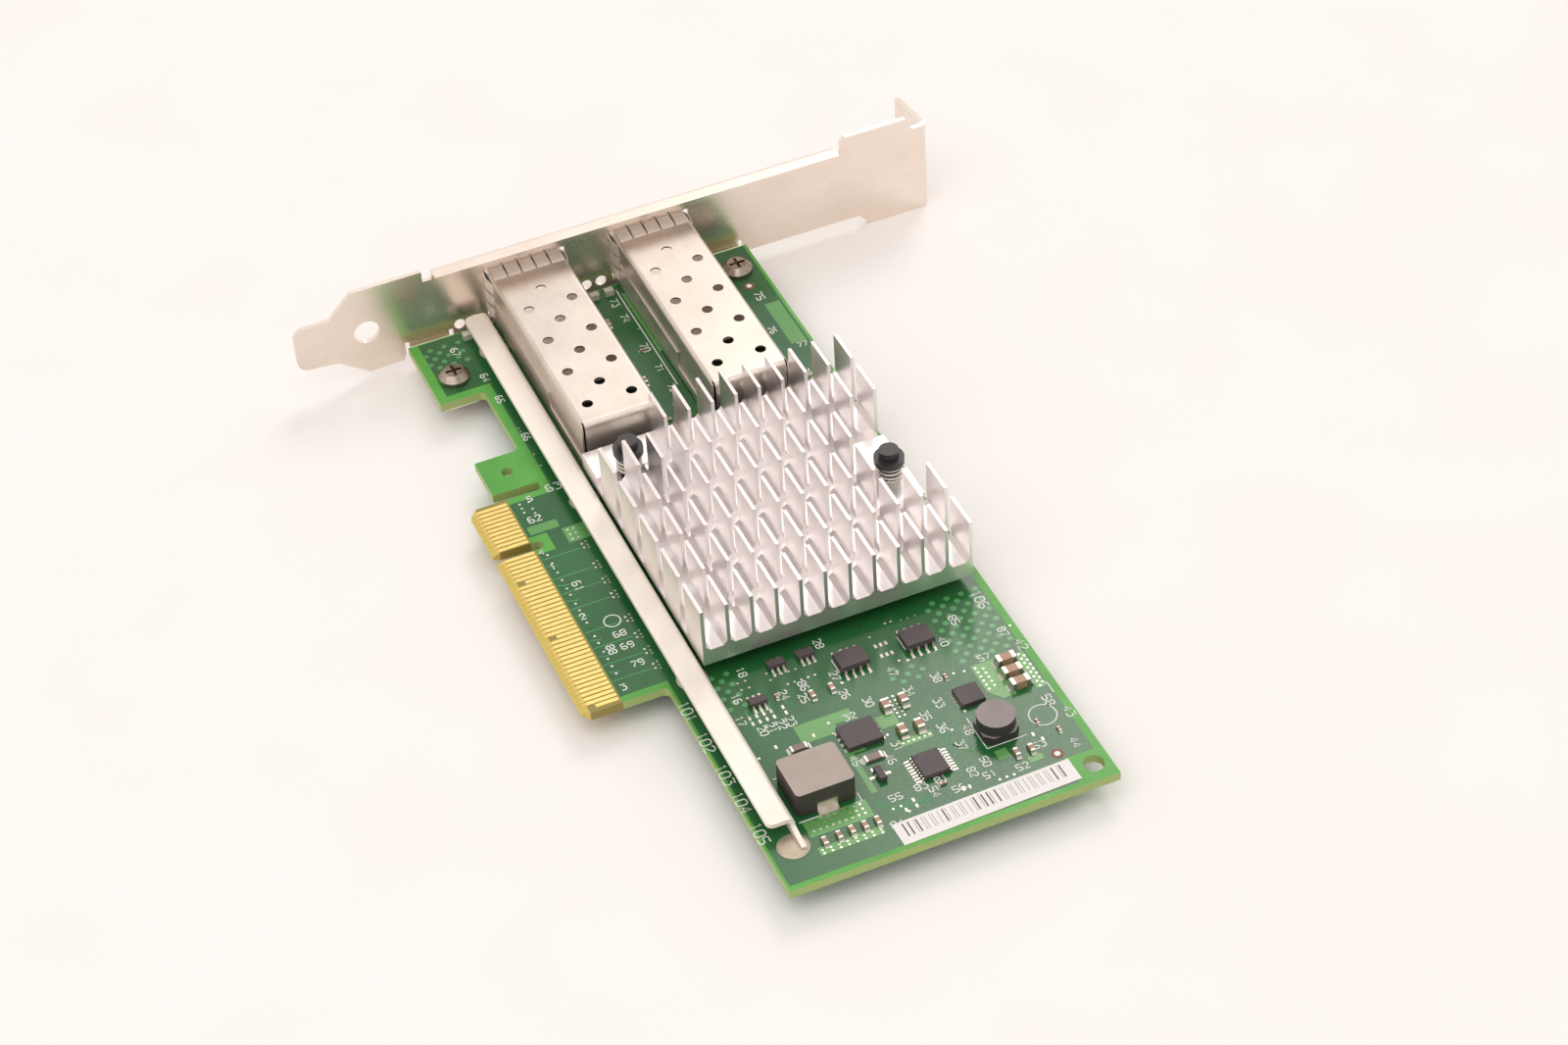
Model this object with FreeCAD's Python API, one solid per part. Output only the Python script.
"""Network interface card: a dual-port plug-in board with cages, heat sink and full-height bracket.

Millimetres, +Z out of the component side.  The origin is the middle of the key notch on the
finger edge, on the solder side.  +X points into the edge connector, -Y towards the bracket.
"""
import FreeCAD, Part
import math
import os

V = FreeCAD.Vector

# ---------------------------------------------------------------- circuit board
BOARD_THICKNESS = 1.57
BOARD_WIDTH = 68.90             # finger edge to the far long edge
BOARD_LENGTH = 144.05
BOARD_FRONT_Y = -57.15
BOARD_FAR_X = -BOARD_WIDTH
BOARD_REAR_Y = BOARD_FRONT_Y + BOARD_LENGTH
BODY_EDGE_X = -14.24            # long edge behind the finger section
LOBE_EDGE_X = -5.10             # front lobe and hook tab stand out to here
LOBE_REAR_Y = -40.35
HOOK_FRONT_Y = -23.45
HOOK_REAR_Y = -14.50
HOOK_HOLE = (-9.30, -19.10)
HOOK_HOLE_RADIUS = 1.00
RECESS_EDGE_X = -13.00          # bottom of the notch in front of the hook
FINGER_FRONT_Y = -12.60
FINGER_REAR_Y = 39.60
FINGER_CHAMFER = 1.30
BEVEL_LENGTH = 1.40
BEVEL_DEPTH = 0.51
KEY_WIDTH = 1.90
KEY_DEPTH = 8.50
INNER_RADIUS = 1.00             # routed inner corners
CORNER_HOLE = (BOARD_FAR_X + 2.80, BOARD_REAR_Y - 3.50)
CORNER_HOLE_RADIUS = 1.70

# ---------------------------------------------------------------- edge contacts
CONTACT_PITCH = 1.00
CONTACT_WIDTH = 0.70
CONTACT_INNER_X = -6.40
CONTACT_TIP_X = -0.25
CONTACT_THICKNESS = 0.05
CONTACTS_BEFORE_KEY = 11
CONTACTS_AFTER_KEY = 38
FIRST_CONTACT_Y = 1.50          # first contact behind the key, mirrored in front of it
SHORT_CONTACT_TIP_X = -2.60     # presence contacts stop short of the bevel
SHORT_CONTACTS_TOP = (17, 31, 48)   # counted away from the key, front block first
SHORT_CONTACTS_BOTTOM = (10,)

# ---------------------------------------------------------------- bracket
SHEET = 0.86
BRACKET_GAP = 1.90              # between the board's front edge and the strip
BRACKET_INNER_Y = BOARD_FRONT_Y - BRACKET_GAP
BRACKET_OUTER_Y = BRACKET_INNER_Y - SHEET
BEND_RADIUS = 0.50
TONGUE_TIP_X = 14.10
TONGUE_BOTTOM_Z = 2.04
TONGUE_TOP_Z = 10.67
TONGUE_CORNER = 2.00
TONGUE_HOLE = (1.20, 6.17)
TONGUE_HOLE_RADIUS = 2.30
TONGUE_SLOPE_TIP = (7.35, 10.87)
TONGUE_SLOPE_ROOT_X = 3.03
TONGUE_UNDERSIDE = ((-4.70, -2.30), (1.66, -2.50), (6.90, 1.30), (9.70, 1.67))
STRIP_TOP_Z = 15.32
STRIP_BOTTOM_Z = -1.43
STRIP_NEAR_X = -5.00
STRIP_FAR_X = -92.00
LIP_NEAR_X = -11.60
LIP_FAR_X = -87.40
LIP_TOP_Z = 15.42
LIP_DEPTH = 2.70                # lip reach behind the strip's inner face
LIP_NEAR_NOTCH = (1.80, 13.20)  # width and bottom of the relief at each end of the lip
LIP_FAR_NOTCH = (1.40, 13.60)
FLANGE_OUTER_X = -105.90
FLANGE_REACH = 11.43
FLANGE_TOP_Z = 14.27
FLANGE_TIP_TOP_Z = 12.30
FLANGE_BOTTOM_Z = -3.80
SHOULDER_TOP_Z = 16.77
SHOULDER_NEAR_Z = 15.90
SHOULDER_CORNER = 1.00
SHOULDER_FAR_X = -101.60
SHOULDER_END_X = -102.90
FLANGE_FOOT_X = -94.00
FLANGE_SLOT_WIDTH = 4.42
FLANGE_SLOT_DEPTH = 5.60
EARS = ((-13.25, 18.05), (-68.25, 13.05))    # near edge in X, reach behind the strip
EAR_WIDTH = 7.30
EAR_CORNER = 1.50
EAR_SCREW_INSET = 4.80          # screw centre to the ear's end
RELIEF_WIDTH = 0.80
RELIEF_TOP_Z = 1.30
LED_HOLES_X = (-15.35, -18.10, -39.15, -41.88)
LED_HOLE_Z = 1.87
LED_HOLE_RADIUS = 1.00

# ---------------------------------------------------------------- bracket screws
SCREWS = tuple((x + EAR_WIDTH / 2, BRACKET_INNER_Y + reach - EAR_SCREW_INSET) for x, reach in EARS)
SCREW_RADIUS = 1.50
SCREW_HEAD_RADIUS = 2.70
SCREW_HEAD_HEIGHT = 1.90
SCREW_CROWN = 1.00              # sloped upper part of the head
SCREW_CROWN_RADIUS = 1.75
SCREW_HOLE_CLEARANCE = 0.15     # radial, in the board
THREAD_CLEARANCE = 0.02         # radial, in the ear
SCREW_END_Z = -2.40
RECESS_ARM = 1.45
RECESS_WIDTH = 0.55
RECESS_DEPTH = 1.10

# ---------------------------------------------------------------- transceiver cages
CAGE_CENTRES_X = (-28.30, -51.70)
CAGE_WIDTH = 14.00
CAGE_LENGTH = 48.70
CAGE_PROTRUSION = 2.19          # in front of the bracket's outer face
CAGE_FRONT_Y = BRACKET_OUTER_Y - CAGE_PROTRUSION
CAGE_REAR_Y = CAGE_FRONT_Y + CAGE_LENGTH
CAGE_UNDERSIDE = 0.35           # gap between cage and board
CAGE_HEIGHT = 9.60              # top above the board
CAGE_SHEET = 0.30
CAGE_EDGE_RADIUS = 0.50
REAR_ROLL_RADIUS = 0.80
REAR_SLOT = 0.60                # slots between the rolled rear wall and the side walls
REAR_SLOT_DEPTH = 2.00
VENT_RADIUS = 0.95
VENT_COLUMN_OFFSET = 3.95
VENT_ROWS = 4
VENT_PITCH = 9.17
VENT_FIRST_Y = CAGE_FRONT_Y + 11.50
SHELL_FRONT_Y = CAGE_FRONT_Y + 6.20
SHELL_REAR_Y = CAGE_REAR_Y - 15.60
SHELL_HEIGHT = 5.20
SHELL_RAIL_HEIGHT = 1.90
SHELL_PLATE_REAR_Y = SHELL_REAR_Y - 2.00
CAGE_PIN_WIDTH = 0.90
CAGE_PIN_END_Z = -0.80
CAGE_PIN_HOLE_RADIUS = 0.65
CAGE_PINS_Y = (CAGE_FRONT_Y + 17.00, CAGE_REAR_Y - 6.60)
OPENING_CLEARANCE = 0.60        # bracket opening around the cage

# spring fingers around the cage front
SPRING_SHEET = 0.20
SPRING_RING_FRONT_Y = CAGE_FRONT_Y + 0.20
SPRING_RING_REAR_Y = CAGE_FRONT_Y + 1.50
SPRING_BULGE_START = 1.10       # along the finger, from the ring
SPRING_BULGE_END = 2.50
SPRING_FINGER_LENGTH = 4.30
SPRING_BULGE = 0.33
TOP_FINGERS = 5
TOP_FINGER_WIDTH = 2.30
TOP_FINGER_PITCH = 2.66
SIDE_FINGERS = 3
SIDE_FINGER_WIDTH = 2.20
SIDE_FINGER_PITCH = 2.80

# host connector inside each cage
HOST_WIDTH = 10.60
HOST_HEIGHT = 5.80
HOST_LENGTH = 8.20
HOST_REAR_Y = CAGE_REAR_Y - 6.00
HOST_FRONT_Y = HOST_REAR_Y - HOST_LENGTH
HOST_SLOT_WIDTH = 9.20
HOST_SLOT_HEIGHT = 1.30
HOST_SLOT_Z = 4.10              # slot centre above the board
HOST_SLOT_DEPTH = 5.00

# ---------------------------------------------------------------- stiffener bar
BAR_SHEET = 0.80
BAR_WALL_X = -19.95             # outer face of the upright wall
BAR_WIDTH = 4.40
BAR_HEIGHT = 3.00
BAR_FRONT_Y = BOARD_FRONT_Y + 0.25
BAR_REAR_Y = BOARD_REAR_Y - 10.70
BAR_CORNER = 1.20
BAR_BEND_RADIUS = 0.40
BAR_TABS_Y = (BAR_FRONT_Y + 7.00, -6.80, 39.70, BAR_REAR_Y + 2.80)
BAR_TAB_LENGTH = 2.60
BAR_TAB_END_Z = -0.70
BAR_TAB_CLEARANCE = 0.15
BAR_NECK_TOP = 1.40             # wall height above the board past the flange's end
BAR_NECK_REAR_Y = BAR_REAR_Y + 4.10
BAR_PAD_X = -18.50
BAR_PAD_RADIUS = 2.40
BAR_PAD_THICKNESS = 0.15

# ---------------------------------------------------------------- heat sink
SINK_LENGTH = 51.95
SINK_NEAR_X = -20.30
SINK_FAR_X = BOARD_FAR_X + 2.10
SINK_FRONT_Y = CAGE_REAR_Y + 1.70
SINK_REAR_Y = SINK_FRONT_Y + SINK_LENGTH
SINK_UNDERSIDE = 2.50           # heights above the board
SINK_GAP_FLOOR = 5.50
SINK_TOP = 13.80
FIN_COUNT = 12
FIN_THICKNESS = 0.60
FIN_ROOT = 0.70                 # sloped root of each fin
FIN_ROWS = 6
ROW_LENGTH = 6.80
DEEP_CUT_BOTTOM = 3.40
SHALLOW_CUT_BOTTOM = 5.20
DEEP_CUT_NEAR_X = SINK_NEAR_X - 8.30    # deep cuts outside these two planes, shallow ones between
DEEP_CUT_FAR_X = SINK_FAR_X + 12.40
PLATFORM_FINS_A = 3             # fins left out beside each push pin
PLATFORM_FINS_B = 2

# ---------------------------------------------------------------- push pins
PINS = {"a": (SINK_NEAR_X - 5.98, SINK_FRONT_Y + 6.41), "b": (SINK_FAR_X + 3.35, SINK_FRONT_Y + 27.70)}
PIN_SHANK_RADIUS = 1.45
PIN_SINK_CLEARANCE = 0.30
PIN_BOARD_CLEARANCE = 0.10
PIN_COLLAR_RADIUS = 2.53
PIN_COLLAR_BOTTOM = 8.60
PIN_COLLAR_TOP = 9.80
PIN_DOME_RADIUS = 1.65
PIN_TOP = 11.30
PIN_BARB_RADIUS = 2.05
PIN_BARB_Z = -0.45
PIN_TIP_Z = -3.20
PIN_TIP_RADIUS = 0.90
PIN_SLIT_WIDTH = 0.70
SPRING_WIRE = 0.50
SPRING_MEAN_RADIUS = 2.05
SPRING_TURNS = 3.0
SPRING_STEPS = 10               # facets in each turn

# ---------------------------------------------------------------- controller and pad
CHIP_CENTRE = ((SINK_NEAR_X + SINK_FAR_X) / 2 - 0.45, SINK_FRONT_Y + 19.70)
CHIP_SIZE = 25.00
CHIP_BODY_HEIGHT = 1.20
CHIP_LID_SIZE = 19.00
CHIP_HEIGHT = 2.20

# ---------------------------------------------------------------- small parts
# The parts behind the heat sink are set out from the bar's wall and the heat sink's rear end, on a
# field of this drawn size, and spread with the room that the board leaves.
FIELD_DRAWN_WIDTH = 48.95
FIELD_DRAWN_LENGTH = 46.65


def on_field(across, behind):
    """Place in X and Y of a point given by its distance from the bar and from the heat sink."""
    room_x = BAR_WALL_X - BOARD_FAR_X
    room_y = BOARD_REAR_Y - SINK_REAR_Y
    x = BAR_WALL_X - across * room_x / FIELD_DRAWN_WIDTH
    y = SINK_REAR_Y + behind * room_y / FIELD_DRAWN_LENGTH
    return (x, y)


SOIC_CENTRES = (on_field(33.35, 7.35), on_field(22.15, 7.25))
SOIC_BODY = (4.90, 3.90, 1.50)
SMALL_LOGIC_CENTRES = (on_field(11.25, 2.65), on_field(16.25, 2.65), on_field(5.40, 8.95))
SMALL_LOGIC_BODY = (2.90, 1.60, 1.00)
POWER_CONTROLLER = on_field(23.80, 32.85)
POWER_CONTROLLER_BODY = (4.40, 5.00, 1.00)
POWER_STAGE = on_field(16.75, 22.35)
POWER_STAGE_BODY = (6.00, 5.00, 1.00)
REGULATOR = on_field(35.35, 22.15)
REGULATOR_BODY = (4.00, 4.00, 0.90)
TRANSISTOR = on_field(16.05, 31.30)
TRANSISTOR_BODY = (1.30, 2.90, 1.00)
LEAD_THICKNESS = 0.18
LEAD_FOOT = 0.60
LEAD_SHOULDER = 0.55            # share of the package height where a lead comes out
LEAD_KNEE = 0.60                # share of a lead's free span that stays level
SOIC_LEAD_COUNT = 4             # leads on each side that has them
SOIC_LEADS = (1.27, 1.05, 0.42)             # pitch, overhang, width
SMALL_LOGIC_LEAD_COUNT = 3
SMALL_LOGIC_LEADS = (0.95, 0.80, 0.40)
POWER_CONTROLLER_LEAD_COUNT = 8
POWER_CONTROLLER_LEADS = (0.65, 1.00, 0.30)
TRANSISTOR_LEAD_COUNT = 1
TRANSISTOR_LEADS = (1.90, 0.80, 0.45)

MOULDED_SIZE = (9.70, 8.40)
MOULDED_CENTRE = on_field(6.20, 29.55)
MOULDED_HEIGHT = 4.50
MOULDED_STANDOFF = 0.10
MOULDED_CHAMFER = 0.50
CLIP_WIDTH = 3.40
CLIP_SHEET = 0.20
CLIP_HEIGHT = 1.90
CLIP_FOOT = 1.20

ROUND_INDUCTOR = on_field(36.05, 30.25)
ROUND_INDUCTOR_BASE = 6.00
ROUND_INDUCTOR_BASE_HEIGHT = 1.50
ROUND_INDUCTOR_CORNER = 1.20
ROUND_INDUCTOR_RADIUS = 3.05
ROUND_INDUCTOR_HEIGHT = 3.50

SIZE_1206 = (3.20, 1.60, 1.50)
SIZE_0805 = (2.00, 1.25, 1.20)
SIZE_0603 = (1.60, 0.80, 0.80)
SIZE_0402 = (1.00, 0.50, 0.50)
LARGE_CAPACITORS = (            # field place, direction, size
    (43.80, 17.85, "x", SIZE_1206), (43.55, 20.60, "x", SIZE_1206), (43.55, 23.35, "x", SIZE_1206),
    (22.85, 18.55, "y", SIZE_0805), (25.85, 18.55, "y", SIZE_0805),
    (22.90, 24.55, "y", SIZE_0805), (25.75, 24.65, "y", SIZE_0805),
)
SMALL_CAPACITORS = (
    (13.70, 11.30, "y", SIZE_0603), (17.05, 11.15, "y", SIZE_0603),
    (2.95, 40.15, "y", SIZE_0603), (5.35, 40.00, "y", SIZE_0603), (7.50, 39.85, "y", SIZE_0603),
    (9.65, 39.85, "y", SIZE_0603), (11.75, 39.85, "y", SIZE_0603),
    (36.55, 36.35, "y", SIZE_0603), (38.95, 36.55, "y", SIZE_0603),
    (33.95, 16.75, "y", SIZE_0402), (23.85, 37.05, "x", SIZE_0402), (8.65, 9.05, "y", SIZE_0402),
    (42.35, 31.75, "y", SIZE_0402), (44.65, 34.65, "y", SIZE_0402),
)
CHIP_RESISTORS = (
    (16.70, 27.50, "x", (3.00, 1.40, 0.55)), (7.25, 20.65, "x", (2.80, 1.30, 0.55)),
)
CAGE_SIDE_CAPACITORS = (        # from the middle between the cages and the board's front edge
    (1.40, 9.95, "y", SIZE_0603), (1.40, 27.15, "y", SIZE_0603),
    (-1.40, 19.15, "x", SIZE_0402), (-1.40, 34.65, "x", SIZE_0402), (1.60, 38.15, "x", SIZE_0402),
)
DECOUPLING_COLUMNS = 4          # grid of capacitors on the solder side, under the chip
DECOUPLING_ROWS = 4
DECOUPLING_PITCH = (3.40, 4.00)
LED_Y = BOARD_FRONT_Y + 2.05
LED_BODY = (1.60, 1.20, 1.10)
LABEL_CENTRE = (-48.15, BOARD_REAR_Y - 3.40)
LABEL_SIZE = (29.80, 4.55)
LABEL_THICKNESS = 0.12
LABEL_TURN_DEG = 1.20

# ---------------------------------------------------------------- derived levels
TOP = BOARD_THICKNESS           # component side
CAGE_BOTTOM_Z = TOP + CAGE_UNDERSIDE
CAGE_TOP_Z = TOP + CAGE_HEIGHT
SINK_UNDERSIDE_Z = TOP + SINK_UNDERSIDE
SINK_FLOOR_Z = TOP + SINK_GAP_FLOOR
SINK_TOP_Z = TOP + SINK_TOP
CUT_PAST = 1.00                 # how far a cutting tool runs past the stock


# ---------------------------------------------------------------- helpers
def box(x0, x1, y0, y1, z0, z1):
    return Part.makeBox(x1 - x0, y1 - y0, z1 - z0, V(x0, y0, z0))


def block_on_board(cx, cy, size, z=TOP):
    lx, ly, lz = size
    return box(cx - lx / 2, cx + lx / 2, cy - ly / 2, cy + ly / 2, z, z + lz)


def rod(x, y, z0, z1, radius):
    return Part.makeCylinder(radius, z1 - z0, V(x, y, z0))


def rod_y(x, z, y0, y1, radius):
    return Part.makeCylinder(radius, y1 - y0, V(x, y0, z), V(0, 1, 0))


def prism(points, along):
    """Closed polygon of 3-D points swept along a vector."""
    wire = Part.makePolygon([V(*p) for p in points] + [V(*points[0])])
    return Part.Face(wire).extrude(V(*along))


def fuse(shapes):
    result = shapes[0].fuse(list(shapes[1:])) if len(shapes) > 1 else shapes[0]
    return result.removeSplitter()


def cut(shape, tools):
    return shape.cut(Part.makeCompound(list(tools)))


def place(shape, origin, u, v, w):
    """Carry a shape from local u, v, w axes to a right-handed set in the card's frame."""
    matrix = FreeCAD.Matrix(
        u[0], v[0], w[0], origin[0],
        u[1], v[1], w[1], origin[1],
        u[2], v[2], w[2], origin[2],
    )
    moved = shape.copy()
    moved.transformShape(matrix)
    return moved


def straight(a, b):
    """A line between two points, or nothing where a leg ends at its bend."""
    return [] if a.isEqual(b, 1e-6) else [Part.makeLine(a, b)]


def bent_sheet(leg_u, leg_v, length, thickness, inner_radius):
    """Right-angle bend: outer corner at the origin, legs along +u and +v, length along +w."""
    outer = inner_radius + thickness
    outer_mid = outer * (1 - math.sqrt(0.5))
    inner_mid = outer - inner_radius * math.sqrt(0.5)
    outer_arc = Part.Arc(V(outer, 0, 0), V(outer_mid, outer_mid, 0), V(0, outer, 0)).toShape()
    inner_arc = Part.Arc(V(thickness, outer, 0), V(inner_mid, inner_mid, 0), V(outer, thickness, 0)).toShape()
    edges = straight(V(leg_u, 0, 0), V(outer, 0, 0)) + [outer_arc]
    edges += straight(V(0, outer, 0), V(0, leg_v, 0))
    edges += straight(V(0, leg_v, 0), V(thickness, leg_v, 0))
    edges += straight(V(thickness, leg_v, 0), V(thickness, outer, 0)) + [inner_arc]
    edges += straight(V(outer, thickness, 0), V(leg_u, thickness, 0))
    edges += straight(V(leg_u, thickness, 0), V(leg_u, 0, 0))
    return Part.Face(Part.Wire(edges)).extrude(V(0, 0, length))


def upright_edges(shape, picks, tolerance=0.05):
    """Edges parallel to Z whose x, y is one of the picks."""
    found = []
    for edge in shape.Edges:
        ends = [vertex.Point for vertex in edge.Vertexes]
        if len(ends) != 2 or abs(ends[0].x - ends[1].x) + abs(ends[0].y - ends[1].y) > tolerance:
            continue
        for x, y in picks:
            if abs(ends[0].x - x) < tolerance and abs(ends[0].y - y) < tolerance:
                found.append(edge)
    return found


# ---------------------------------------------------------------- circuit board
def board_bevels():
    """Wedges taken off both faces along the finger edge."""
    y0 = FINGER_FRONT_Y - CUT_PAST
    sweep = (0, FINGER_REAR_Y - FINGER_FRONT_Y + 2 * CUT_PAST, 0)
    upper = prism([(-BEVEL_LENGTH, y0, TOP), (0, y0, TOP - BEVEL_DEPTH), (CUT_PAST, y0, TOP - BEVEL_DEPTH),
                   (CUT_PAST, y0, TOP + CUT_PAST), (-BEVEL_LENGTH, y0, TOP + CUT_PAST)], sweep)
    lower = prism([(-BEVEL_LENGTH, y0, 0), (0, y0, BEVEL_DEPTH), (CUT_PAST, y0, BEVEL_DEPTH),
                   (CUT_PAST, y0, -CUT_PAST), (-BEVEL_LENGTH, y0, -CUT_PAST)], sweep)
    return [upper, lower]


def circuit_board():
    outline = [
        (BOARD_FAR_X, BOARD_FRONT_Y), (LOBE_EDGE_X, BOARD_FRONT_Y), (LOBE_EDGE_X, LOBE_REAR_Y),
        (RECESS_EDGE_X, LOBE_REAR_Y), (RECESS_EDGE_X, HOOK_FRONT_Y), (LOBE_EDGE_X, HOOK_FRONT_Y),
        (LOBE_EDGE_X, HOOK_REAR_Y), (RECESS_EDGE_X, HOOK_REAR_Y), (RECESS_EDGE_X, FINGER_FRONT_Y),
        (-FINGER_CHAMFER, FINGER_FRONT_Y), (0, FINGER_FRONT_Y + FINGER_CHAMFER),
        (0, FINGER_REAR_Y - FINGER_CHAMFER), (-FINGER_CHAMFER, FINGER_REAR_Y),
        (BODY_EDGE_X, FINGER_REAR_Y), (BODY_EDGE_X, BOARD_REAR_Y), (BOARD_FAR_X, BOARD_REAR_Y),
    ]
    board = prism([(x, y, 0) for x, y in outline], (0, 0, BOARD_THICKNESS))
    routed = [(RECESS_EDGE_X, LOBE_REAR_Y), (RECESS_EDGE_X, HOOK_FRONT_Y), (BODY_EDGE_X, FINGER_REAR_Y)]
    board = board.makeFillet(INNER_RADIUS, upright_edges(board, routed))
    z0, z1 = -CUT_PAST, TOP + CUT_PAST
    key_end_x = -KEY_DEPTH + KEY_WIDTH / 2
    tools = [
        box(key_end_x, CUT_PAST, -KEY_WIDTH / 2, KEY_WIDTH / 2, z0, z1),
        rod(key_end_x, 0, z0, z1, KEY_WIDTH / 2),
        rod(*HOOK_HOLE, z0, z1, HOOK_HOLE_RADIUS),
        rod(*CORNER_HOLE, z0, z1, CORNER_HOLE_RADIUS),
    ]
    tools += [rod(x, y, z0, z1, SCREW_RADIUS + SCREW_HOLE_CLEARANCE) for x, y in SCREWS]
    tools += [rod(x, y, z0, z1, PIN_SHANK_RADIUS + PIN_BOARD_CLEARANCE) for x, y in PINS.values()]
    for cage_x in CAGE_CENTRES_X:
        for x in cage_pin_columns(cage_x):
            tools += [rod(x, y, z0, z1, CAGE_PIN_HOLE_RADIUS) for y in CAGE_PINS_Y]
    for y in BAR_TABS_Y:
        reach = BAR_TAB_LENGTH / 2 + BAR_TAB_CLEARANCE
        tools.append(box(BAR_WALL_X - BAR_TAB_CLEARANCE, BAR_WALL_X + BAR_SHEET + BAR_TAB_CLEARANCE,
                         y - reach, y + reach, z0, z1))
    return cut(board, tools + board_bevels())


# ---------------------------------------------------------------- edge contacts
def contact_profile(short):
    """Side view of one top contact as (x, z), lying on the board and over its bevel."""
    slope = BEVEL_DEPTH / BEVEL_LENGTH
    lift = CONTACT_THICKNESS
    if short:
        return [(CONTACT_INNER_X, TOP), (SHORT_CONTACT_TIP_X, TOP),
                (SHORT_CONTACT_TIP_X, TOP + lift), (CONTACT_INNER_X, TOP + lift)]
    tip_z = TOP - slope * (BEVEL_LENGTH + CONTACT_TIP_X)
    return [(CONTACT_INNER_X, TOP), (-BEVEL_LENGTH, TOP), (CONTACT_TIP_X, tip_z),
            (CONTACT_TIP_X, tip_z + lift), (-BEVEL_LENGTH, TOP + lift), (CONTACT_INNER_X, TOP + lift)]


def edge_contacts(short_ones, underside):
    rows = [-FIRST_CONTACT_Y - CONTACT_PITCH * i for i in range(CONTACTS_BEFORE_KEY)]
    rows += [FIRST_CONTACT_Y + CONTACT_PITCH * i for i in range(CONTACTS_AFTER_KEY)]
    contacts = []
    for number, y in enumerate(rows):
        profile = contact_profile(number in short_ones)
        if underside:
            profile = [(x, BOARD_THICKNESS - z) for x, z in profile]
        y0 = y - CONTACT_WIDTH / 2
        contacts.append(prism([(x, y0, z) for x, z in profile], (0, CONTACT_WIDTH, 0)))
    return Part.makeCompound(contacts)


# ---------------------------------------------------------------- bracket
def bracket_face():
    """Flat strip and tongue, in X and Z, with its folded edges left off."""
    bend = BEND_RADIUS + SHEET
    lip_fold_z = LIP_TOP_Z - bend
    near_notch_x = LIP_NEAR_X + LIP_NEAR_NOTCH[0]
    far_notch_x = LIP_FAR_X - LIP_FAR_NOTCH[0]
    outline = [
        (TONGUE_TIP_X, TONGUE_BOTTOM_Z), (TONGUE_TIP_X, TONGUE_TOP_Z), TONGUE_SLOPE_TIP,
        (TONGUE_SLOPE_ROOT_X, STRIP_TOP_Z), (near_notch_x, STRIP_TOP_Z), (near_notch_x, LIP_NEAR_NOTCH[1]),
        (LIP_NEAR_X, LIP_NEAR_NOTCH[1]), (LIP_NEAR_X, lip_fold_z), (LIP_FAR_X, lip_fold_z),
        (LIP_FAR_X, LIP_FAR_NOTCH[1]), (far_notch_x, LIP_FAR_NOTCH[1]), (far_notch_x, SHOULDER_NEAR_Z),
        (far_notch_x - SHOULDER_CORNER, SHOULDER_TOP_Z), (SHOULDER_FAR_X, SHOULDER_TOP_Z),
        (SHOULDER_END_X, FLANGE_TOP_Z), (FLANGE_OUTER_X + bend, FLANGE_TOP_Z),
        (FLANGE_OUTER_X + bend, FLANGE_BOTTOM_Z), (FLANGE_FOOT_X, FLANGE_BOTTOM_Z),
        (STRIP_FAR_X, STRIP_BOTTOM_Z), (STRIP_NEAR_X, STRIP_BOTTOM_Z), *TONGUE_UNDERSIDE,
    ]
    face = prism([(x, BRACKET_OUTER_Y, z) for x, z in outline], (0, SHEET, 0))
    tips = []
    for edge in face.Edges:
        a, b = edge.Vertexes[0].Point, edge.Vertexes[-1].Point
        if abs(a.x - TONGUE_TIP_X) < 0.01 and abs(b.x - TONGUE_TIP_X) < 0.01 and abs(a.z - b.z) < 0.01:
            tips.append(edge)
    return face.makeFillet(TONGUE_CORNER, tips)


def bracket_flange():
    top_z = max(FLANGE_TOP_Z, FLANGE_TIP_TOP_Z)
    bend = BEND_RADIUS + SHEET
    sheet = bent_sheet(bend, FLANGE_REACH + SHEET, top_z - FLANGE_BOTTOM_Z, SHEET, BEND_RADIUS)
    flange = place(sheet, (FLANGE_OUTER_X, BRACKET_INNER_Y, top_z), (1, 0, 0), (0, -1, 0), (0, 0, -1))
    x0 = FLANGE_OUTER_X - CUT_PAST
    tip_y = BRACKET_INNER_Y - FLANGE_REACH - SHEET
    sweep = (SHEET + 2 * CUT_PAST, 0, 0)
    taper = prism([(x0, BRACKET_OUTER_Y - BEND_RADIUS, FLANGE_TOP_Z), (x0, tip_y - CUT_PAST, FLANGE_TOP_Z),
                   (x0, tip_y - CUT_PAST, FLANGE_TIP_TOP_Z), (x0, tip_y, FLANGE_TIP_TOP_Z)], sweep)
    slot_y = BRACKET_OUTER_Y - FLANGE_REACH / 2
    slot_top = FLANGE_BOTTOM_Z + FLANGE_SLOT_DEPTH
    half = FLANGE_SLOT_WIDTH / 2
    slot = box(x0, x0 + sweep[0], slot_y - half, slot_y + half, FLANGE_BOTTOM_Z - CUT_PAST, slot_top - half)
    slot_end = Part.makeCylinder(half, sweep[0], V(x0, slot_y, slot_top - half), V(1, 0, 0))
    return cut(flange, [taper, slot, slot_end])


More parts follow.
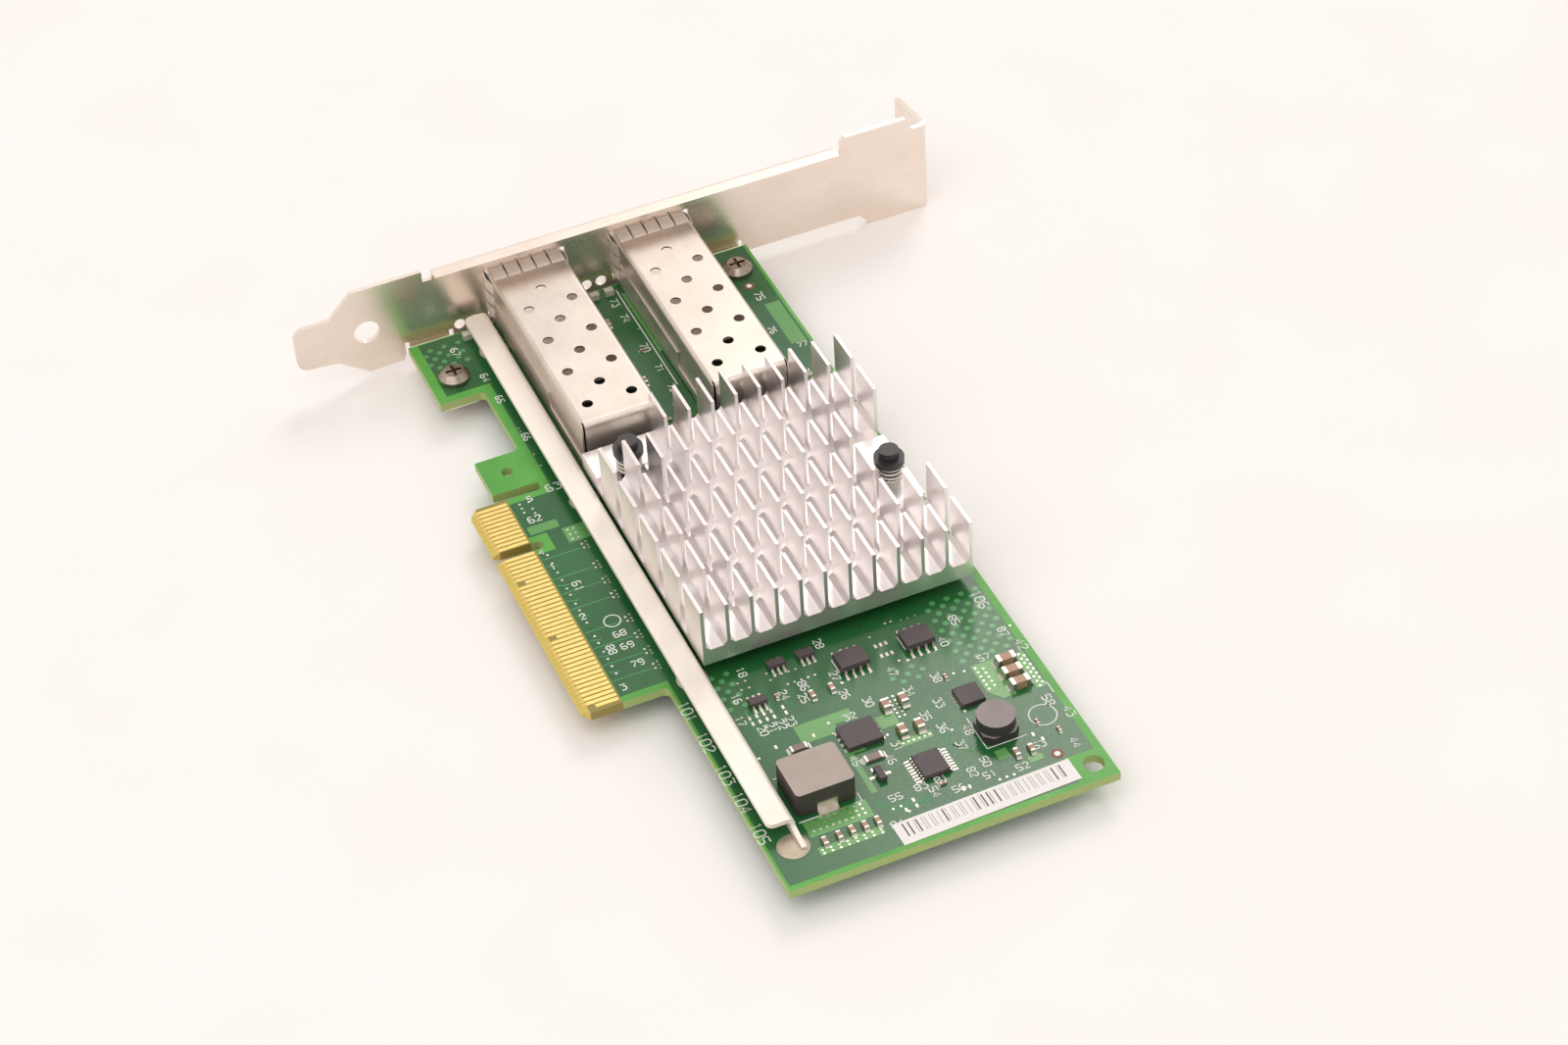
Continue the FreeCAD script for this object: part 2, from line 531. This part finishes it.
def bracket_ears():
    """Ears folded under the board, each with its screw hole."""
    ears = []
    for (x0, reach), (sx, sy) in zip(EARS, SCREWS):
        end_y = BRACKET_INNER_Y + reach
        sheet = bent_sheet(reach + SHEET, SHEET + RELIEF_TOP_Z, EAR_WIDTH, SHEET, BEND_RADIUS)
        ear = place(sheet, (x0, BRACKET_OUTER_Y, -SHEET), (0, 1, 0), (0, 0, 1), (1, 0, 0))
        hole = rod(sx, sy, -SHEET - CUT_PAST, CUT_PAST, SCREW_RADIUS + THREAD_CLEARANCE)
        corners = upright_edges(ear, [(x0, end_y), (x0 + EAR_WIDTH, end_y)])
        ears.append(ear.makeFillet(EAR_CORNER, corners).cut(hole))
    return ears


def io_bracket():
    y0, y1 = BRACKET_OUTER_Y - CUT_PAST, BRACKET_INNER_Y + CUT_PAST
    tools = [rod_y(*TONGUE_HOLE, y0, y1, TONGUE_HOLE_RADIUS)]
    tools += [rod_y(x, LED_HOLE_Z, y0, y1, LED_HOLE_RADIUS) for x in LED_HOLES_X]
    half = CAGE_WIDTH / 2 + OPENING_CLEARANCE
    for cage_x in CAGE_CENTRES_X:
        tools.append(box(cage_x - half, cage_x + half, y0, y1,
                         CAGE_BOTTOM_Z - OPENING_CLEARANCE, CAGE_TOP_Z + OPENING_CLEARANCE))
    for x0, _ in EARS:
        tools.append(box(x0 - RELIEF_WIDTH, x0 + EAR_WIDTH + RELIEF_WIDTH, y0, y1,
                         STRIP_BOTTOM_Z - CUT_PAST, RELIEF_TOP_Z))
    face = cut(bracket_face(), tools)
    lip_sheet = bent_sheet(SHEET + LIP_DEPTH, BEND_RADIUS + SHEET, LIP_NEAR_X - LIP_FAR_X, SHEET, BEND_RADIUS)
    lip = place(lip_sheet, (LIP_NEAR_X, BRACKET_OUTER_Y, LIP_TOP_Z), (0, 1, 0), (0, 0, -1), (-1, 0, 0))
    return fuse([face, lip, bracket_flange()] + bracket_ears())


def bracket_screws():
    screws = []
    for x, y in SCREWS:
        head_top = TOP + SCREW_HEAD_HEIGHT
        low = head_top - SCREW_CROWN
        head = fuse([rod(x, y, TOP, low, SCREW_HEAD_RADIUS),
                     Part.makeCone(SCREW_HEAD_RADIUS, SCREW_CROWN_RADIUS, SCREW_CROWN, V(x, y, low))])
        shank = rod(x, y, SCREW_END_Z, TOP, SCREW_RADIUS)
        low = head_top - RECESS_DEPTH
        arm, half = RECESS_ARM, RECESS_WIDTH / 2
        recess = [box(x - arm, x + arm, y - half, y + half, low, head_top + CUT_PAST),
                  box(x - half, x + half, y - arm, y + arm, low, head_top + CUT_PAST)]
        screws.append(cut(fuse([head, shank]), recess))
    return Part.makeCompound(screws)


# ---------------------------------------------------------------- cages
def cage_pin_columns(cage_x):
    offset = CAGE_WIDTH / 2 + CAGE_SHEET / 2
    return (cage_x - offset, cage_x + offset)


def cage_cover(cage_x):
    """Folded cover: perforated top, two side walls, rear wall rolled down."""
    half = CAGE_WIDTH / 2
    side_rear_y = CAGE_REAR_Y - CAGE_SHEET
    roll_start_y = CAGE_REAR_Y - REAR_ROLL_RADIUS - CAGE_SHEET
    side_leg = CAGE_TOP_Z - CAGE_BOTTOM_Z - CAGE_SHEET
    length = side_rear_y - CAGE_FRONT_Y
    near_half = bent_sheet(half, side_leg, length, CAGE_SHEET, CAGE_EDGE_RADIUS)
    far_half = bent_sheet(side_leg, half, length, CAGE_SHEET, CAGE_EDGE_RADIUS)
    left = place(near_half, (cage_x - half, CAGE_FRONT_Y, CAGE_TOP_Z), (1, 0, 0), (0, 0, -1), (0, 1, 0))
    right = place(far_half, (cage_x + half, CAGE_FRONT_Y, CAGE_TOP_Z), (0, 0, -1), (-1, 0, 0), (0, 1, 0))
    rear_half = half - REAR_SLOT
    rear_leg = CAGE_TOP_Z - CAGE_BOTTOM_Z
    rear = bent_sheet(REAR_ROLL_RADIUS + CAGE_SHEET, rear_leg, 2 * rear_half, CAGE_SHEET, REAR_ROLL_RADIUS)
    rear = place(rear, (cage_x - rear_half, CAGE_REAR_Y, CAGE_TOP_Z), (0, -1, 0), (0, 0, -1), (1, 0, 0))
    z0, z1 = CAGE_TOP_Z - CAGE_SHEET - CUT_PAST, CAGE_TOP_Z + CUT_PAST
    window = box(cage_x - rear_half, cage_x + rear_half, roll_start_y, side_rear_y + CUT_PAST, z0, z1)
    slots = [box(cage_x + s * (rear_half + REAR_SLOT / 4) - REAR_SLOT / 4,
                 cage_x + s * (rear_half + REAR_SLOT / 4) + REAR_SLOT / 4,
                 roll_start_y, side_rear_y + CUT_PAST, CAGE_TOP_Z - REAR_SLOT_DEPTH, z1) for s in (-1, 1)]
    vents = []
    for row in range(VENT_ROWS):
        centre_y = VENT_FIRST_Y + row * VENT_PITCH
        outer_y = centre_y + VENT_PITCH / 2
        vents.append(rod(cage_x, centre_y, z0, z1, VENT_RADIUS))
        vents.append(rod(cage_x - VENT_COLUMN_OFFSET, outer_y, z0, z1, VENT_RADIUS))
        vents.append(rod(cage_x + VENT_COLUMN_OFFSET, outer_y, z0, z1, VENT_RADIUS))
    shell = cut(fuse([left, right]), [window] + slots + vents)
    return fuse([shell, rear])


def cage_base(cage_x):
    """Lower shell: floor, side walls outside the cover, solder pins."""
    half = CAGE_WIDTH / 2
    outer = half + CAGE_SHEET
    floor_top = CAGE_BOTTOM_Z + CAGE_SHEET
    pieces = [
        box(cage_x - outer, cage_x + outer, SHELL_FRONT_Y, SHELL_PLATE_REAR_Y, CAGE_BOTTOM_Z, floor_top),
        box(cage_x - half, cage_x + half, CAGE_FRONT_Y, SHELL_FRONT_Y, CAGE_BOTTOM_Z, floor_top),
    ]
    for side in (-1, 1):
        inner_x, outer_x = sorted((cage_x + side * half, cage_x + side * outer))
        wall_top, rail_top = TOP + SHELL_HEIGHT, TOP + SHELL_RAIL_HEIGHT
        pieces.append(box(inner_x, outer_x, SHELL_FRONT_Y, SHELL_REAR_Y, CAGE_BOTTOM_Z, wall_top))
        pieces.append(box(inner_x, outer_x, SHELL_REAR_Y, CAGE_REAR_Y - REAR_SLOT, CAGE_BOTTOM_Z, rail_top))
        for y in CAGE_PINS_Y:
            pieces.append(box(inner_x, outer_x, y - CAGE_PIN_WIDTH / 2, y + CAGE_PIN_WIDTH / 2,
                              CAGE_PIN_END_Z, floor_top))
    return fuse(pieces)


def spring_finger(width):
    """One bulged finger: u runs back from the ring, v stands out from the cage, w is its width."""
    lower = [(0, 0), (SPRING_BULGE_START, SPRING_BULGE), (SPRING_BULGE_END, SPRING_BULGE),
             (SPRING_FINGER_LENGTH, 0)]
    upper = [(u, v + SPRING_SHEET) for u, v in reversed(lower)]
    return prism([(u, v, -width / 2) for u, v in lower + upper], (0, 0, width))


def cage_springs(cage_x):
    """Collar around the cage mouth with spring fingers on the top and both sides."""
    half = CAGE_WIDTH / 2
    y0, y1 = SPRING_RING_FRONT_Y, SPRING_RING_REAR_Y
    outer = box(cage_x - half - SPRING_SHEET, cage_x + half + SPRING_SHEET, y0, y1,
                CAGE_BOTTOM_Z - SPRING_SHEET, CAGE_TOP_Z + SPRING_SHEET)
    inner = box(cage_x - half, cage_x + half, y0 - CUT_PAST, y1 + CUT_PAST, CAGE_BOTTOM_Z, CAGE_TOP_Z)
    pieces = [outer.cut(inner)]
    top_finger = spring_finger(TOP_FINGER_WIDTH)
    for i in range(TOP_FINGERS):
        x = cage_x + (i - (TOP_FINGERS - 1) / 2) * TOP_FINGER_PITCH
        pieces.append(place(top_finger, (x, y1, CAGE_TOP_Z), (0, 1, 0), (0, 0, 1), (1, 0, 0)))
    side_finger = spring_finger(SIDE_FINGER_WIDTH)
    middle_z = (CAGE_TOP_Z + CAGE_BOTTOM_Z) / 2
    for i in range(SIDE_FINGERS):
        z = middle_z + (i - (SIDE_FINGERS - 1) / 2) * SIDE_FINGER_PITCH
        pieces.append(place(side_finger, (cage_x + half, y1, z), (0, 1, 0), (1, 0, 0), (0, 0, -1)))
        pieces.append(place(side_finger, (cage_x - half, y1, z), (0, 1, 0), (-1, 0, 0), (0, 0, 1)))
    return fuse(pieces)


def host_connector(cage_x):
    half = HOST_WIDTH / 2
    body = box(cage_x - half, cage_x + half, HOST_FRONT_Y, HOST_REAR_Y, TOP, TOP + HOST_HEIGHT)
    slot_z = TOP + HOST_SLOT_Z
    slot = box(cage_x - HOST_SLOT_WIDTH / 2, cage_x + HOST_SLOT_WIDTH / 2, HOST_FRONT_Y - CUT_PAST,
               HOST_FRONT_Y + HOST_SLOT_DEPTH, slot_z - HOST_SLOT_HEIGHT / 2, slot_z + HOST_SLOT_HEIGHT / 2)
    return body.cut(slot)


# ---------------------------------------------------------------- stiffener bar
def stiffener_bar():
    top_z = TOP + BAR_HEIGHT
    angle = bent_sheet(BAR_WIDTH, BAR_HEIGHT, BAR_REAR_Y - BAR_FRONT_Y, BAR_SHEET, BAR_BEND_RADIUS)
    angle = place(angle, (BAR_WALL_X, BAR_FRONT_Y, top_z), (1, 0, 0), (0, 0, -1), (0, 1, 0))
    edge_x = BAR_WALL_X + BAR_WIDTH
    angle = angle.makeFillet(BAR_CORNER, upright_edges(angle, [(edge_x, BAR_FRONT_Y), (edge_x, BAR_REAR_Y)]))
    x0, x1 = BAR_WALL_X, BAR_WALL_X + BAR_SHEET
    neck_rear_z = TOP + BAR_NECK_TOP / 2
    neck = prism([(x0, BAR_REAR_Y, TOP), (x0, BAR_NECK_REAR_Y, TOP), (x0, BAR_NECK_REAR_Y, neck_rear_z),
                  (x0, BAR_REAR_Y, TOP + BAR_NECK_TOP)], (BAR_SHEET, 0, 0))
    half = BAR_TAB_LENGTH / 2
    tabs = [box(x0, x1, y - half, y + half, BAR_TAB_END_Z, TOP) for y in BAR_TABS_Y]
    return fuse([angle, neck] + tabs)


def bar_solder_joints():
    """Tinned lands around the bar's tabs, cut clear of the upright wall."""
    wall = box(BAR_WALL_X, BAR_WALL_X + BAR_SHEET, BAR_FRONT_Y, BAR_NECK_REAR_Y,
               TOP - CUT_PAST, TOP + BAR_HEIGHT)
    board_slot_half = BAR_TAB_LENGTH / 2 + BAR_TAB_CLEARANCE
    lands = []
    for y in BAR_TABS_Y:
        land = rod(BAR_PAD_X, y, TOP, TOP + BAR_PAD_THICKNESS, BAR_PAD_RADIUS)
        fill = box(BAR_WALL_X, BAR_WALL_X + BAR_SHEET, y - board_slot_half, y + board_slot_half, 0, TOP)
        lands.append(land.cut(wall).cut(fill))
    return Part.makeCompound(lands)


# ---------------------------------------------------------------- heat sink
def fin_pitch():
    return (SINK_NEAR_X - SINK_FAR_X - FIN_THICKNESS) / (FIN_COUNT - 1)


def row_pitch():
    return (SINK_REAR_Y - SINK_FRONT_Y - ROW_LENGTH) / (FIN_ROWS - 1)


def gap_tool(far_x, near_x):
    """The space between two fins, narrowing at the roots, along the whole extrusion."""
    y0 = SINK_FRONT_Y - CUT_PAST
    floor, top = SINK_FLOOR_Z, SINK_TOP_Z + CUT_PAST
    outline = [(far_x, top), (far_x, floor + FIN_ROOT), (far_x + FIN_ROOT, floor),
               (near_x - FIN_ROOT, floor), (near_x, floor + FIN_ROOT), (near_x, top)]
    return prism([(x, y0, z) for x, z in outline], (0, SINK_REAR_Y - SINK_FRONT_Y + 2 * CUT_PAST, 0))


def row_cuts():
    """Cross cuts between the fin rows: deep beside the chip, shallow over it."""
    tools = []
    for row in range(FIN_ROWS - 1):
        y0 = SINK_FRONT_Y + row * row_pitch() + ROW_LENGTH
        y1 = SINK_FRONT_Y + (row + 1) * row_pitch()
        top = SINK_TOP_Z + CUT_PAST
        shallow, deep = TOP + SHALLOW_CUT_BOTTOM, TOP + DEEP_CUT_BOTTOM
        tools.append(box(SINK_FAR_X - CUT_PAST, SINK_NEAR_X + CUT_PAST, y0, y1, shallow, top))
        tools.append(box(SINK_FAR_X - CUT_PAST, DEEP_CUT_FAR_X, y0, y1, deep, top))
        tools.append(box(DEEP_CUT_NEAR_X, SINK_NEAR_X + CUT_PAST, y0, y1, deep, top))
    return tools


def pin_platforms():
    """Fins milled away to the gap floor around each push pin."""
    pitch = fin_pitch()
    near_fin = SINK_NEAR_X - FIN_THICKNESS
    last_fin = near_fin - (FIN_COUNT - 1) * pitch
    top = SINK_TOP_Z + CUT_PAST
    a_front = SINK_FRONT_Y - CUT_PAST
    a_rear = SINK_FRONT_Y + ROW_LENGTH
    b_front = SINK_FRONT_Y + 2 * row_pitch()
    b_rear = b_front + row_pitch() + ROW_LENGTH
    a = box(near_fin - PLATFORM_FINS_A * pitch + FIN_THICKNESS, SINK_NEAR_X + CUT_PAST,
            a_front, a_rear, SINK_FLOOR_Z, top)
    b = box(SINK_FAR_X - CUT_PAST, last_fin + PLATFORM_FINS_B * pitch, b_front, b_rear, SINK_FLOOR_Z, top)
    return [a, b]


def heat_sink():
    block = box(SINK_FAR_X, SINK_NEAR_X, SINK_FRONT_Y, SINK_REAR_Y, SINK_UNDERSIDE_Z, SINK_TOP_Z)
    pitch = fin_pitch()
    gaps = []
    for i in range(FIN_COUNT - 1):
        near_x = SINK_NEAR_X - FIN_THICKNESS - i * pitch
        gaps.append(gap_tool(near_x - pitch + FIN_THICKNESS, near_x))
    block = cut(block, gaps)
    block = cut(block, row_cuts())
    block = cut(block, pin_platforms())
    radius = PIN_SHANK_RADIUS + PIN_SINK_CLEARANCE
    z0, z1 = SINK_UNDERSIDE_Z - CUT_PAST, SINK_FLOOR_Z + CUT_PAST
    return cut(block, [rod(x, y, z0, z1, radius) for x, y in PINS.values()])


# ---------------------------------------------------------------- push pins and springs
def push_pin(x, y):
    """Nylon pin: stepped cap, shank, split barbed tip below the board."""
    profile = [
        (0, TOP + PIN_TOP), (PIN_DOME_RADIUS, TOP + PIN_TOP), (PIN_DOME_RADIUS, TOP + PIN_COLLAR_TOP),
        (PIN_COLLAR_RADIUS, TOP + PIN_COLLAR_TOP),
        (PIN_COLLAR_RADIUS, TOP + PIN_COLLAR_BOTTOM), (PIN_SHANK_RADIUS, TOP + PIN_COLLAR_BOTTOM),
        (PIN_SHANK_RADIUS, PIN_BARB_Z), (PIN_BARB_RADIUS, PIN_BARB_Z),
        (PIN_TIP_RADIUS, PIN_TIP_Z), (0, PIN_TIP_Z),
    ]
    points = [V(x + r, y, z) for r, z in profile]
    pin = Part.Face(Part.makePolygon(points + [points[0]])).revolve(V(x, y, 0), V(0, 0, 1), 360)
    half = PIN_SLIT_WIDTH / 2
    reach = PIN_BARB_RADIUS + CUT_PAST
    return pin.cut(box(x - half, x + half, y - reach, y + reach, PIN_TIP_Z - CUT_PAST, TOP))


def pin_spring(x, y):
    """Coil between the heat sink floor and the pin's collar, with ground flat ends."""
    low, high = SINK_FLOOR_Z, TOP + PIN_COLLAR_BOTTOM
    half = SPRING_WIRE / 2
    start_z, rise = low + half / 2, high - low - half
    steps = int(SPRING_TURNS * SPRING_STEPS)
    sections = []
    for i in range(steps + 1):
        angle = 2 * math.pi * i / SPRING_STEPS
        z = start_z + rise * i / steps
        corners = []
        for radial, up in ((-half, 0), (0, -half), (half, 0), (0, half), (-half, 0)):
            r = SPRING_MEAN_RADIUS + radial
            corners.append(V(x + r * math.cos(angle), y + r * math.sin(angle), z + up))
        sections.append(Part.makePolygon(corners))
    coil = Part.makeLoft(sections, True, True)
    reach = SPRING_MEAN_RADIUS + SPRING_WIRE
    return coil.common(box(x - reach, x + reach, y - reach, y + reach, low, high))


# ---------------------------------------------------------------- chips and small parts
def controller_chip():
    x, y = CHIP_CENTRE
    body = block_on_board(x, y, (CHIP_SIZE, CHIP_SIZE, CHIP_BODY_HEIGHT))
    lid_height = CHIP_HEIGHT - CHIP_BODY_HEIGHT
    lid = block_on_board(x, y, (CHIP_LID_SIZE, CHIP_LID_SIZE, lid_height), TOP + CHIP_BODY_HEIGHT)
    return fuse([body, lid])


def thermal_pad():
    x, y = CHIP_CENTRE
    size = (CHIP_LID_SIZE, CHIP_LID_SIZE, SINK_UNDERSIDE - CHIP_HEIGHT)
    return block_on_board(x, y, size, TOP + CHIP_HEIGHT)


def gull_lead(edge, reach, shoulder_z, width):
    """One lead: u runs out from the package side, v is up from the board, w is across the lead."""
    t = LEAD_THICKNESS
    bend_u = edge + (reach - edge - LEAD_FOOT) * LEAD_KNEE
    points = [(edge, shoulder_z), (bend_u, shoulder_z), (reach - LEAD_FOOT, t), (reach, t), (reach, 0),
              (reach - LEAD_FOOT - t, 0), (edge, shoulder_z - t)]
    return prism([(u, v, -width / 2) for u, v in points], (0, 0, width))


def leads_on_sides(centre, body, across, count, pitch, overhang, width):
    """Two rows of leads on the sides that face along the axis named by across."""
    cx, cy = centre
    half = (body[1] if across == "y" else body[0]) / 2
    lead = gull_lead(half, half + overhang, body[2] * LEAD_SHOULDER, width)
    leads = []
    for i in range(count):
        s = (i - (count - 1) / 2) * pitch
        if across == "y":
            leads.append(place(lead, (cx + s, cy, TOP), (0, 1, 0), (0, 0, 1), (1, 0, 0)))
            leads.append(place(lead, (cx + s, cy, TOP), (0, -1, 0), (0, 0, 1), (-1, 0, 0)))
        else:
            leads.append(place(lead, (cx, cy + s, TOP), (1, 0, 0), (0, 0, 1), (0, -1, 0)))
            leads.append(place(lead, (cx, cy + s, TOP), (-1, 0, 0), (0, 0, 1), (0, 1, 0)))
    return leads


def chip_leads():
    leads = []
    for centre in SOIC_CENTRES:
        leads += leads_on_sides(centre, SOIC_BODY, "y", SOIC_LEAD_COUNT, *SOIC_LEADS)
    for centre in SMALL_LOGIC_CENTRES:
        leads += leads_on_sides(centre, SMALL_LOGIC_BODY, "y", SMALL_LOGIC_LEAD_COUNT, *SMALL_LOGIC_LEADS)
    leads += leads_on_sides(POWER_CONTROLLER, POWER_CONTROLLER_BODY, "x", POWER_CONTROLLER_LEAD_COUNT,
                            *POWER_CONTROLLER_LEADS)
    leads += leads_on_sides(TRANSISTOR, TRANSISTOR_BODY, "x", TRANSISTOR_LEAD_COUNT, *TRANSISTOR_LEADS)
    return Part.makeCompound(leads)


def bodies(centres, size):
    """Packages standing clear of the board by one lead thickness."""
    lx, ly, lz = size
    raised = (lx, ly, lz - LEAD_THICKNESS / 2)
    return Part.makeCompound([block_on_board(x, y, raised, TOP + LEAD_THICKNESS / 2) for x, y in centres])


def oriented(size, direction):
    lx, ly, lz = size
    return (lx, ly, lz) if direction == "x" else (ly, lx, lz)


def chips(table, z=TOP):
    return [block_on_board(x, y, oriented(size, way), z) for x, y, way, size in table]


def field_chips(table):
    return chips([on_field(across, behind) + (way, size) for across, behind, way, size in table])


def cage_side_chips():
    middle_x = sum(CAGE_CENTRES_X) / len(CAGE_CENTRES_X)
    return chips([(middle_x + x, BOARD_FRONT_Y + y, way, size) for x, y, way, size in CAGE_SIDE_CAPACITORS])


def solder_side_capacitors():
    step_x, step_y = DECOUPLING_PITCH
    table = []
    for i in range(DECOUPLING_COLUMNS):
        for j in range(DECOUPLING_ROWS):
            x = CHIP_CENTRE[0] + (i - (DECOUPLING_COLUMNS - 1) / 2) * step_x
            y = CHIP_CENTRE[1] + (j - (DECOUPLING_ROWS - 1) / 2) * step_y
            table.append((x, y, "x", SIZE_0402))
    return Part.makeCompound(chips(table, -SIZE_0402[2]))


def power_inductor():
    x, y = MOULDED_CENTRE
    half_x, half_y = MOULDED_SIZE[0] / 2, MOULDED_SIZE[1] / 2
    core = box(x - half_x, x + half_x, y - half_y, y + half_y, TOP + MOULDED_STANDOFF, TOP + MOULDED_HEIGHT)
    corners = [(x + i * half_x, y + j * half_y) for i in (-1, 1) for j in (-1, 1)]
    return core.makeChamfer(MOULDED_CHAMFER, upright_edges(core, corners))


def inductor_terminals():
    """Tinned clips: up the two opposite faces of the moulded core, feet outwards."""
    x, y = MOULDED_CENTRE
    half = CLIP_WIDTH / 2
    clips = []
    for out in (-1, 1):
        face_y = y + out * MOULDED_SIZE[1] / 2
        wall = sorted((face_y, face_y + out * CLIP_SHEET))
        foot = sorted((face_y, face_y + out * CLIP_FOOT))
        clips.append(fuse([box(x - half, x + half, *wall, TOP, TOP + CLIP_HEIGHT),
                           box(x - half, x + half, *foot, TOP, TOP + CLIP_SHEET)]))
    return Part.makeCompound(clips)


def shielded_inductor():
    x, y = ROUND_INDUCTOR
    base = block_on_board(x, y, (ROUND_INDUCTOR_BASE, ROUND_INDUCTOR_BASE, ROUND_INDUCTOR_BASE_HEIGHT))
    half = ROUND_INDUCTOR_BASE / 2
    corners = [(x + i * half, y + j * half) for i in (-1, 1) for j in (-1, 1)]
    base = base.makeChamfer(ROUND_INDUCTOR_CORNER, upright_edges(base, corners))
    top = rod(x, y, TOP + ROUND_INDUCTOR_BASE_HEIGHT, TOP + ROUND_INDUCTOR_HEIGHT, ROUND_INDUCTOR_RADIUS)
    return fuse([base, top])


def barcode_label():
    x, y = LABEL_CENTRE
    label = block_on_board(x, y, LABEL_SIZE + (LABEL_THICKNESS,))
    label.rotate(V(x, y, 0), V(0, 0, 1), LABEL_TURN_DEG)
    return label


def indicator_leds():
    return Part.makeCompound([block_on_board(x, LED_Y, LED_BODY) for x in LED_HOLES_X])


# ---------------------------------------------------------------- all nodes
def build_nodes():
    nodes = {
        "circuit_board": circuit_board(),
        "edge_contacts_top": edge_contacts(SHORT_CONTACTS_TOP, False),
        "edge_contacts_bottom": edge_contacts(SHORT_CONTACTS_BOTTOM, True),
        "io_bracket": io_bracket(),
        "bracket_screws": bracket_screws(),
        "stiffener_bar": stiffener_bar(),
        "bar_solder_joints": bar_solder_joints(),
        "heat_sink": heat_sink(),
        "controller_chip": controller_chip(),
        "thermal_pad": thermal_pad(),
        "memory_chips": bodies(SOIC_CENTRES, SOIC_BODY),
        "logic_chips": bodies(SMALL_LOGIC_CENTRES, SMALL_LOGIC_BODY),
        "power_controller": bodies([POWER_CONTROLLER], POWER_CONTROLLER_BODY),
        "transistor": bodies([TRANSISTOR], TRANSISTOR_BODY),
        "chip_leads": chip_leads(),
        "power_stage": block_on_board(*POWER_STAGE, POWER_STAGE_BODY),
        "regulator_chip": block_on_board(*REGULATOR, REGULATOR_BODY),
        "power_inductor": power_inductor(),
        "inductor_terminals": inductor_terminals(),
        "shielded_inductor": shielded_inductor(),
        "large_capacitors": Part.makeCompound(field_chips(LARGE_CAPACITORS)),
        "small_capacitors": Part.makeCompound(field_chips(SMALL_CAPACITORS) + cage_side_chips()),
        "chip_resistors": Part.makeCompound(field_chips(CHIP_RESISTORS)),
        "solder_side_capacitors": solder_side_capacitors(),
        "indicator_leds": indicator_leds(),
        "barcode_label": barcode_label(),
    }
    for letter, cage_x in zip("ab", CAGE_CENTRES_X):
        nodes["cage_%s_cover" % letter] = cage_cover(cage_x)
        nodes["cage_%s_base" % letter] = cage_base(cage_x)
        nodes["cage_%s_springs" % letter] = cage_springs(cage_x)
        nodes["host_connector_%s" % letter] = host_connector(cage_x)
    for letter, (x, y) in PINS.items():
        nodes["push_pin_%s" % letter] = push_pin(x, y)
        nodes["pin_spring_%s" % letter] = pin_spring(x, y)
    return nodes


os.makedirs("parts", exist_ok=True)
for name, shape in build_nodes().items():
    shape.exportStep("parts/%s.step" % name)
